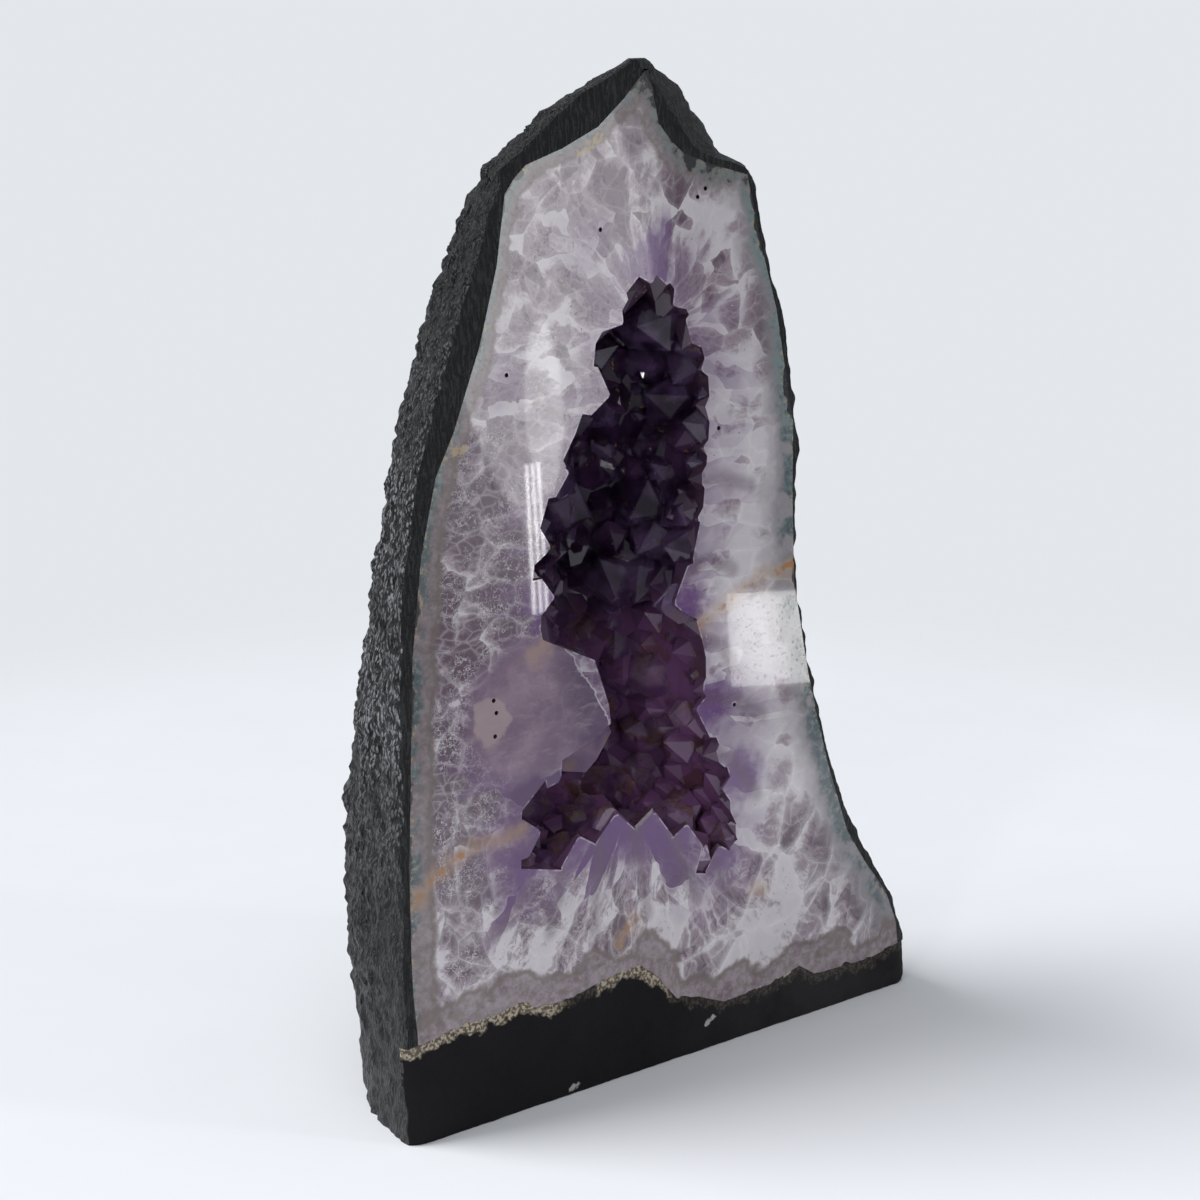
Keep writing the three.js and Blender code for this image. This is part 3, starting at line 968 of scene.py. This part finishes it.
def quartz_tones(look, growth):
    """Colours the cut quartz, and gives back its veins and the tone of its columns."""
    zones = (look.step(look.up, *TOP_ZONE), look.step(look.across, *RIGHT_ZONE),
             look.step(look.up, *FAN_ZONE))
    flow = look.wobbled(look.wobbled(growth, 18, 4), 4.5, 0.8)
    large = crystal_cells(look, look.stretched(flow, LARGE_CELL))
    small = crystal_cells(look, look.stretched(flow, SMALL_CELL))
    columns = look.stretched(look.wobbled(growth, 15, 3), COLUMN)
    column = look.parts(look.cells(columns, "Color"))[0]
    grain = look.noise(1.5, 4, 0.6)
    fibres = look.noise(1, 4, 0.6, look.stretched(flow, FIBRE))
    milk = milkiness(look, zones, large, small, grain, fibres, column)
    look.base = look.mix(look.step(milk, 0, 0.5), LILAC_QUARTZ, MILKY_QUARTZ)
    look.cover(WHITE_QUARTZ, look.step(milk, 0.5, 1))
    gaps = look.swayed(large[2], grain, 0.1)
    walls = quartz_veins(look, zones, gaps, small[2], look.cell_walls(columns))
    look.cover(PAINT, look.patches(1.1, 0.72, 0.77, 2), 0.8)
    return walls, column


def big_section(look, section, heart):
    """The large cut crystal: clear lilac with a chalky heart and a pale outline, which on its cavity
    side is partly a painted highlight of the cut edge.
    """
    wobble = look.noise(6, 4)
    edge = look.swayed(section, wobble, 7)
    sharp = look.step(look.across, 50, 70)
    inside = look.step(edge, look.scaled(sharp, 5, -6), look.scaled(sharp, -5, 6))
    clouds = look.noise(15, 4)
    tip = look.step(look.across, 62, 98)
    body = look.mix(look.step(clouds, 0.35, 0.65), BODY_PALE, BODY_LILAC)
    body = look.lay(body, BODY_CLEAR, tip, 0.9, look.step(clouds, 0.25, 0.6))
    body = look.lay(body, BODY_EDGE, look.step(edge, 12, 0.5), tip, 0.75)
    drifting = look.stretched(look.wobbled(look.place, 9, 3), WISP)
    wisps = look.step(look.noise(1, 4, over=drifting), 0.52, 0.72)
    body = look.lay(body, MILKY_QUARTZ, wisps, 0.5)
    look.cover(body, inside, 0.88)
    look.cover(CHALK, look.step(look.swayed(heart, wobble, 6), -0.5, 1.2), 0.62)
    # Pale outline on the right, along the cavity: partly the crystal's pale rim, partly a painted
    # highlight of the cut edge.
    look.cover(VEIN, look.step(look.size_of(edge), 0.6, 0.2), tip, 0.5)


def violet_edge(look, cavity, seams, tips, column):
    """Violet where the crystals reach the cavity and at their tips, shaded seams, and a painted
    highlight in patches along the cavity's edge.
    """
    low = look.step(look.up, 180, 125)
    right = look.product(look.step(look.across, 120, 150), look.step(look.up, 300, 230))
    zone = look.larger(look.less(low, look.product(right, 0.6)), 0.4)
    depth = look.swayed(look.ragged(cavity, 22, 12), column, 22)
    look.cover(VIOLET_TINT, look.step(depth, 26, 2), zone, 0.9)
    look.cover(VIOLET_QUARTZ, look.step(depth, 11, -6), zone, 0.9)
    near = look.swayed(look.ragged(tips, 16, 6, 4), column, 8)
    look.cover(TIP_VIOLET, look.step(near, 15, 0), 0.9)
    look.cover(LILAC_QUARTZ, look.step(seams, 5, 0.5), 0.45)
    # Painted highlight: a pale violet line in patches along the cavity's edge, where the cut edge
    # would catch the light.
    bright = look.patches(4, 0.46, 0.62)
    look.cover(VIOLET_PAINTED_HIGHLIGHT, look.step(cavity, 0.9, 0.3), bright, 0.7)


def rim_bands(look, rim, mottled, agate):
    """Grey chalcedony and turquoise along the rock, with black bites at the very edge."""
    depth = look.ragged(look.ragged(rim, 9, 19, 2), 5, 4, 4)
    patches = look.noise(11)
    shoulder = look.step(look.up, *SHOULDER_ZONE)
    right = look.step(look.across, *RIGHT_ZONE)
    reach = look.scaled(shoulder, -5, look.scaled(look.product(right, patches), 12, 11))
    inward = look.math("DIVIDE", depth, reach)
    grey = look.lay(look.mix(0.4, agate, CHALCEDONY), BLUE_GREY, right, 0.6)
    near = look.step(inward, 1.05, look.scaled(right, -0.4, 0.75))
    look.cover(grey, near, 0.88)
    inner = look.product(look.step(inward, 0.66, 0.85), look.step(inward, 1.15, 0.9))
    look.cover(BROWN_AGATE, inner, look.scaled(right, -0.5, 0.65))
    pale = look.step(look.scaled(shoulder, 0.25, mottled), 0.42, 0.75)
    blue = look.mix(pale, TURQUOISE, PALE_TURQUOISE)
    here = look.step(look.less(patches, look.scaled(shoulder, -0.12, 0.5)), -0.08, 0.06)
    look.cover(blue, look.step(inward, 0.5, 0.22), here, 0.9)
    specks = look.patches(1.5, 0.56, 0.62, 2)
    look.cover(OCHRE, specks, look.step(depth, 2.6, 0.4), 0.7)
    look.cover(PAINT, look.step(depth, 0.1, -0.7))


def foot_band(look, foot, agate):
    """A band of brown agate over the foot, with a darker line along its top."""
    depth = look.ragged(foot, 34, 22, 4)
    look.cover(agate, look.step(depth, 11, 7), 0.85)
    line = look.product(look.step(depth, 6, 8.5), look.step(depth, 12, 9))
    look.cover(BROWN_AGATE, line, 0.75)


def soot(look, broken):
    """Black paint that fades out from the broken shoulder over the quartz."""
    near = look.ragged(broken, 36, 5, 5, 0.65)
    look.cover(BROWN_AGATE, look.step(near, 14, 0), 0.6)
    look.cover(PAINT, look.step(near, 4, 0.5))


def iron_stains(look, stain):
    """Rusty stains along old cracks: a wide pale margin and a darker core."""
    spread = look.ragged(stain, 13, 5, 4)
    look.cover(STAIN, look.step(spread, 7, 0), 0.45)
    look.cover(STAIN_CORE, look.step(spread, 0.8, -1.2), 0.85)


def quartz_face():
    """The polished face: banded rim, cut crystals, veins, cracks and iron stains."""
    look = Look("quartz_face")
    rim, foot, cavity = look.parts(look.attribute("edges"))
    stain, crack, seams = look.parts(look.attribute("marks"))
    section, heart, grit = look.parts(look.attribute("insides"))
    broken, tips, _ = look.parts(look.attribute("damage"))
    mottled = look.noise(3, 5, 0.65)
    agate = look.mix(look.step(mottled, 0.3, 0.7), BROWN_AGATE, MILKY_QUARTZ)
    veins, column = quartz_tones(look, look.attribute("growth"))
    violet_edge(look, cavity, seams, tips, column)
    big_section(look, section, heart)
    rim_bands(look, rim, mottled, agate)
    foot_band(look, foot, agate)
    soot(look, broken)
    iron_stains(look, stain)
    look.cover(OCHRE, look.step(look.ragged(grit, 12, 2.2), 2, 0.5), 0.9)
    thin = look.size_of(look.ragged(crack, 5, 3))
    look.cover(CRACK, look.step(thin, 0.4, 0.15))
    dull = look.step(look.across, *DULL_ZONE)
    unpitted = look.patches(1.3, 0.72, 0.62, 2)
    return look.finish(
        IOR=QUARTZ_IOR, Normal=look.bump(unpitted, 0.0002, 0.35),
        Roughness=look.scaled(dull, 0.15, look.scaled(veins, 0.08, 0.07)),
        Coat_Weight=0.7, Coat_Roughness=0.025)


GOLDEN_RUST = (0.34, 0.17, 0.05)
WALL_DARK, WALL_VIOLET = (0.02, 0.008, 0.028), (0.075, 0.032, 0.09)
WALL_FLOOR, WALL_RUST = (0.28, 0.12, 0.29), (0.12, 0.05, 0.03)
CLEAR_DARK, CLEAR_VIOLET = (0.07, 0.03, 0.10), (0.32, 0.19, 0.42)
CLEAR_FLOOR, CLEAR_PINK = (0.45, 0.22, 0.52), (0.9, 0.6, 0.85)
CLEAR_RUST = (0.62, 0.36, 0.2)
CLEAR_COLOUR, ABSORPTION = (0.50, 0.22, 0.66), 60  # what passes through, per metre


def golden(look):
    """Specks of golden iron rust, most of them high in the cavity."""
    specks = look.patches(2.4, 0.62, 0.67)
    high = look.scaled(look.step(look.up, 230, 270), 0.45, 0.5)
    look.cover(GOLDEN_RUST, specks, high, look.patches(16, 0.52, 0.6))


def amethyst_wall():
    """The druse under the points: dark violet facets, paler towards the open face."""
    look = Look("amethyst_wall")
    low = look.step(look.up, *CAVITY_FLOOR)
    look.base = look.mix(look.patches(17, 0.35, 0.65), WALL_DARK, WALL_VIOLET)
    look.cover(WALL_FLOOR, low, 0.9)
    rusty = look.patches(11, 0.54, 0.62)
    look.cover(WALL_RUST, rusty, look.scaled(low, 0.6, 0.05))
    look.cover(LILAC_QUARTZ, look.step(look.behind, 12, 1), 0.7)
    golden(look)
    return look.finish(Roughness=0.07, IOR=QUARTZ_IOR, Transmission_Weight=0.25,
                       Normal=look.bump(look.noise(0.8), 0.00005, 0.3))


def amethyst_clear():
    """Clear violet crystal that darkens with depth."""
    look = Look("amethyst_clear")
    low = look.step(look.up, *CAVITY_FLOOR)
    look.base = look.mix(look.patches(14, 0.38, 0.6, 2), CLEAR_DARK, CLEAR_VIOLET)
    bright = look.mix(look.patches(16, 0.42, 0.58), CLEAR_FLOOR, CLEAR_PINK)
    look.cover(bright, low, 0.8)
    look.cover(CLEAR_RUST, look.patches(11, 0.54, 0.62), low, 0.6)
    depth = look.add("VolumeAbsorption", {"Color": CLEAR_COLOUR, "Density": ABSORPTION})
    look.feed(look.tree.nodes["Material Output"].inputs["Volume"], depth)
    golden(look)
    return look.finish(Roughness=0.03, IOR=QUARTZ_IOR, Transmission_Weight=0.8,
                       Normal=look.bump(look.noise(0.7), 0.00004, 0.25))


# Rock paint: the pits' near black is painted shade, and the pale ridge colour halfway up is a
# painted sheen.
PAINTED_PIT_SHADE, RIDGES, SHEEN_PAINTED_RIDGES = (0.001, 0.001, 0.0012), (0.035, 0.036, 0.041), (0.30, 0.305, 0.335)
ROCK_DUST = (0.14, 0.14, 0.15)
STROKES_DARK, STROKES = (0.001, 0.001, 0.0015), (0.028, 0.0285, 0.032)
BARE_ROCK = (0.10, 0.085, 0.06)
ROPES, FINER_ROPES = (1.25, 1.25, 3.4), (0.9, 0.9, 2.6)
BRUSH = (0.9, 0.9, 9)


def painted_rock():
    """Black paint over rough basalt: dark grey lumps with a painted sheen on them halfway up, and
    painted shade in the black pits between.
    """
    look = Look("painted_rock")
    ropes = look.cells(look.stretched(look.wobbled(look.place, 7, 2), ROPES))
    finer = look.noise(over=look.stretched(look.wobbled(look.place, 3, 1), FINER_ROPES))
    dents = look.swayed(ropes, finer, 1.1)
    grain = look.noise(1.3, 5, 0.65)
    # Painted sheen: a patchy band halfway up where the lumps are made much lighter, standing in for
    # the lamps' reflection in the glossy paint.
    painted_sheen = look.product(look.step(look.up, 80, 180), look.step(look.up, 330, 230),
                        look.patches(24, 0.25, 0.65, 4))
    # Painted shade: the pits between the lumps are near black.
    look.base = look.mix(look.step(dents, 0.2, 0.58), look.mix(painted_sheen, RIDGES, SHEEN_PAINTED_RIDGES), PAINTED_PIT_SHADE)
    look.cover(ROCK_DUST, look.step(grain, 0.64, 0.72), 0.35)
    return look.finish(IOR=PAINT_IOR, Roughness=look.add("MapRange", {0: grain, 3: 0.25, 4: 0.55}),
                       Normal=look.bump(look.less(look.product(grain, 0.4), dents), 0.0016, 1))


def painted_edge():
    """Smooth black paint on the sawn rock, with faint strokes."""
    look = Look("painted_edge")
    strokes = look.noise(1, 5, over=look.stretched(look.wobbled(look.place, 9, 2), BRUSH))
    grain = look.noise(1.4, 4)
    look.base = look.mix(look.step(strokes, 0.46, 0.62), STROKES_DARK, STROKES)
    look.cover(BARE_ROCK, look.step(grain, 0.68, 0.76), 0.4)
    return look.finish(Roughness=0.45, Specular_IOR_Level=0.35,
                       Normal=look.bump(look.scaled(strokes, 2, grain), 0.0014, 0.9))


CEMENT_DARK, CEMENT = (0.006, 0.006, 0.007), (0.016, 0.0155, 0.017)
CEMENT_DUST, CEMENT_GRAINS = (0.030, 0.0285, 0.030), (0.05, 0.05, 0.05)
CRUST_DARK, CRUST, CHIP = (0.13, 0.11, 0.085), (0.50, 0.43, 0.33), (0.42, 0.42, 0.40)
CRUST_REACH = (5, 2.5)  # the beige crust fades out this far below the edge


def painted_cement():
    """Matte black cement with a beige crust along its top edge and a few pale chips."""
    look = Look("painted_cement")
    below, chips, _ = look.parts(look.attribute("edges"))
    left_end = look.step(look.across, 80, 66)
    middle = look.product(look.step(look.across, 88, 93), look.step(look.across, 132, 122))
    crusted = look.larger(look.larger(left_end, middle), 0.12)
    grain = look.noise(1, 5, 0.65)
    clouds = look.noise(30)
    look.base = look.mix(clouds, CEMENT_DARK, CEMENT)
    dusty = look.product(look.step(look.across, 110, 210), look.step(clouds, 0.3, 0.6))
    look.cover(CEMENT_DUST, dusty, 0.8)
    look.cover(CEMENT_GRAINS, look.step(grain, 0.66, 0.74), 0.5)
    look.cover(CHIP, look.step(look.ragged(chips, 5, 2.5), 1.2, 0.4))
    crust = look.mix(look.patches(1.3, 0.44, 0.58), CRUST_DARK, CRUST)
    near = look.step(look.ragged(below, 14, 5, 5), *CRUST_REACH)
    look.cover(crust, near, crusted)
    return look.finish(Roughness=0.85, Specular_IOR_Level=0.15,
                       Normal=look.bump(grain, 0.0005, 0.8))


FLOOR_PALE = (0.79, 0.805, 0.84), (0.82, 0.835, 0.87)
FLOOR_FADES, FLOOR_RADIUS = 0.48, 0.72  # the floor thins out between these, in metres


def plain_floor():
    """A pale matte floor that thins out into the room."""
    look = Look("pale_floor")
    away = look.vector("LENGTH", {0: look.place}, "Value")
    look.base = look.mix(look.noise(60), *FLOOR_PALE)
    return look.finish(Roughness=1, Specular_IOR_Level=0,
                       Alpha=look.step(away, FLOOR_RADIUS / MM, FLOOR_FADES / MM))


# ---- Building the pieces ----

SOFT_EDGE = math.radians(40)  # edges sharper than this stay crisp


def build_pieces():
    """The rock, the foot, the quartz and its points, cut from shapes read off the frame."""
    stone = stone_skin(search_tree("rock_rind", "cement_foot", "crystal_lining"))
    hollow, outline = hollow_shape(search_tree("rock_rind"))
    behind_face = face_slab("slab")
    foot_top = foot_line(search_tree("cement_foot"))
    prism = foot_prism(foot_top)
    foot = copy_of(stone, "foot_painted")
    combine(foot, "INTERSECT", [slab("foot_slab", FOOT_STEP, FOOT_SLAB_TOP, foot_depth)])
    combine(foot, "INTERSECT", [prism], keep=True)
    rind = stone
    rind.name = "rind_painted"
    combine(rind, "INTERSECT", [behind_face], keep=True)
    combine(rind, "DIFFERENCE", [hollow, prism], keep=True)
    lining = cad_copy("crystal_lining")
    lining.name = "quartz_lining"
    combine(lining, "INTERSECT", [behind_face], keep=True)
    combine(lining, "DIFFERENCE", [prism])
    points = amethyst_points(face_slab("deep_slab", POINT_SINK))
    discard([behind_face, hollow])
    combine(lining, "DIFFERENCE", [pinhole(*spot) for spot in PINHOLES])
    polished = mark_quartz(lining, outline, foot_top)
    broken = ~polished & (face_middles(lining.data)[:, 2] > BREAK_LOW)
    rock = painted_rock()
    paint(lining, [amethyst_wall(), quartz_face(), rock], np.maximum(polished, 2 * broken))
    paint(rind, [rock, painted_edge()], polished_faces(rind.data))
    paint(foot, [rock, painted_cement()], mark_foot(foot, foot_top))
    paint(points, [amethyst_clear()])
    for piece in (rind, foot):
        piece.data.shade_smooth()
        piece.data.set_sharp_from_angle(angle=SOFT_EDGE)
    return rind, foot, lining, points


def join_frame(rind, foot, lining, points):
    """Hides the imported node that each piece stands for, and hangs the piece on the root."""
    for piece, node, slot in (
            (rind, "rock_rind", "painted_rock"),
            (foot, "cement_foot", "painted_cement"),
            (lining, "crystal_lining", "amethyst_quartz"),
            (points, "crystal_lining", "amethyst_quartz")):
        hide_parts(node)
        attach(piece, "root")


# ---- Floor, light and camera ----

FLOOR_CORNERS = 96


def lay_floor():
    """A round floor under the stone."""
    turns = [2 * math.pi * i / FLOOR_CORNERS for i in range(FLOOR_CORNERS)]
    rim = [(FLOOR_RADIUS * math.cos(t), FLOOR_RADIUS * math.sin(t), 0) for t in turns]
    mesh = bpy.data.meshes.new("floor")
    mesh.from_pydata(rim, [], [tuple(range(FLOOR_CORNERS))])
    floor = new_object("floor", mesh)
    mesh.materials.append(plain_floor())


PALE = (0.77, 0.80, 0.838, 1)
STUDIO_SHARE = 0.40  # strength of the room's light on the stone, against how it looks
SUN_POWER, SUN_SPREAD, SUN_FROM = 2.25, 30, (-0.6, 0.45, 0.9)
LAMP_AIM = (0, 0, 0.2)
# Lamps round the stone: name, place, size in metres and power in watts.
LAMPS = (
    ("overhead", (-0.35, -0.45, 1.9), (0.7, 0.7), 4),
    ("side", (-1.7, 0.4, 1.1), (0.4, 1), 5),
    ("spark_right", (0.9, -1.3, 1.1), (0.14, 0.14), 2.4),
    ("spark_left", (-1.3, -0.7, 0.9), (0.14, 0.14), 2.2),
)
# Lamps mirrored in the polish: name, spot on the face, distance beyond it, size, power, shape.
REFLECTIONS = (
    ("window", (190, 168), 0.5, (0.062, 0.056), 0.05, "RECTANGLE"),
    *[(f"tube_{i}", (66 + 3 * i, 227), 1.1, (0.0025, 0.12), 0.022, "RECTANGLE") for i in range(3)],
    ("haze", (74, 276), 1.1, (0.03, 0.14), 0.05, "ELLIPSE"),
    ("glow", (80, 318), 1.2, (0.17, 0.42), 0.58, "ELLIPSE"),
)


def soft_light(name, place, aim, size, power, shape="RECTANGLE"):
    """A lamp of this shape and size that the camera doesn't see directly."""
    light = bpy.data.lights.new(name, "AREA")
    light.shape = shape
    light.size, light.size_y = size
    light.energy = power
    lamp = new_object(name, light)
    lamp.location = place
    lamp.visible_camera = False
    lamp.rotation_euler = (Vector(aim) - Vector(place)).to_track_quat("-Z", "Y").to_euler()


def light_room():
    """A pale room: full strength to look at, dimmer as a light."""
    world = bpy.data.worlds.new("studio")
    world.use_nodes = True
    tree = world.node_tree
    tree.nodes.clear()
    path, choice, output = [
        tree.nodes.new(kind)
        for kind in ("ShaderNodeLightPath", "ShaderNodeMixShader", "ShaderNodeOutputWorld")]
    for number, strength in ((1, STUDIO_SHARE), (2, 1)):
        shown = tree.nodes.new("ShaderNodeBackground")
        shown.inputs["Color"].default_value = PALE
        shown.inputs["Strength"].default_value = strength
        tree.links.new(shown.outputs[0], choice.inputs[number])
    tree.links.new(path.outputs["Is Camera Ray"], choice.inputs[0])
    tree.links.new(choice.outputs[0], output.inputs[0])
    bpy.context.scene.world = world


def mirrored(spot, distance):
    """A spot on the polish, and what the camera sees by way of it, this far beyond."""
    place = Vector(placed((spot[0], 0, spot[1])))
    normal = Vector((0, -1, FACE_LEAN)).normalized()
    sight = (place - ORIGIN - Vector(CAMERA_AT) * MM).normalized()
    return place, place + sight.reflect(normal) * distance


def light_up():
    """The pale room, a broad soft sun, and the lamps."""
    light_room()
    sun = bpy.data.lights.new("sky", "SUN")
    sun.energy, sun.angle = SUN_POWER, math.radians(SUN_SPREAD)
    new_object("sky", sun).rotation_euler = Vector(SUN_FROM).to_track_quat("Z", "Y").to_euler()
    for name, place, size, power in LAMPS:
        soft_light(name, place, LAMP_AIM, size, power)
    for name, spot, distance, size, power, shape in REFLECTIONS:
        aim, place = mirrored(spot, distance)
        soft_light(name, place, aim, size, power, shape)


CAMERA_AT = (-498.2, -755.3, 458.5)  # across, towards the back, up; millimetres
CAMERA_TURN = (75, 0, -37.9)  # degrees
LENS, SENSOR = 78, 36  # millimetres


def set_camera():
    """The photograph's viewpoint."""
    data = bpy.data.cameras.new("camera")
    data.lens, data.sensor_width = LENS, SENSOR
    camera = new_object("camera", data)
    camera.location = ORIGIN + Vector(CAMERA_AT) * MM
    camera.rotation_euler = [math.radians(angle) for angle in CAMERA_TURN]
    bpy.context.scene.camera = camera


bpy.context.scene.view_settings.view_transform = "Standard"
join_frame(*build_pieces())
lay_floor()
light_up()
set_camera()
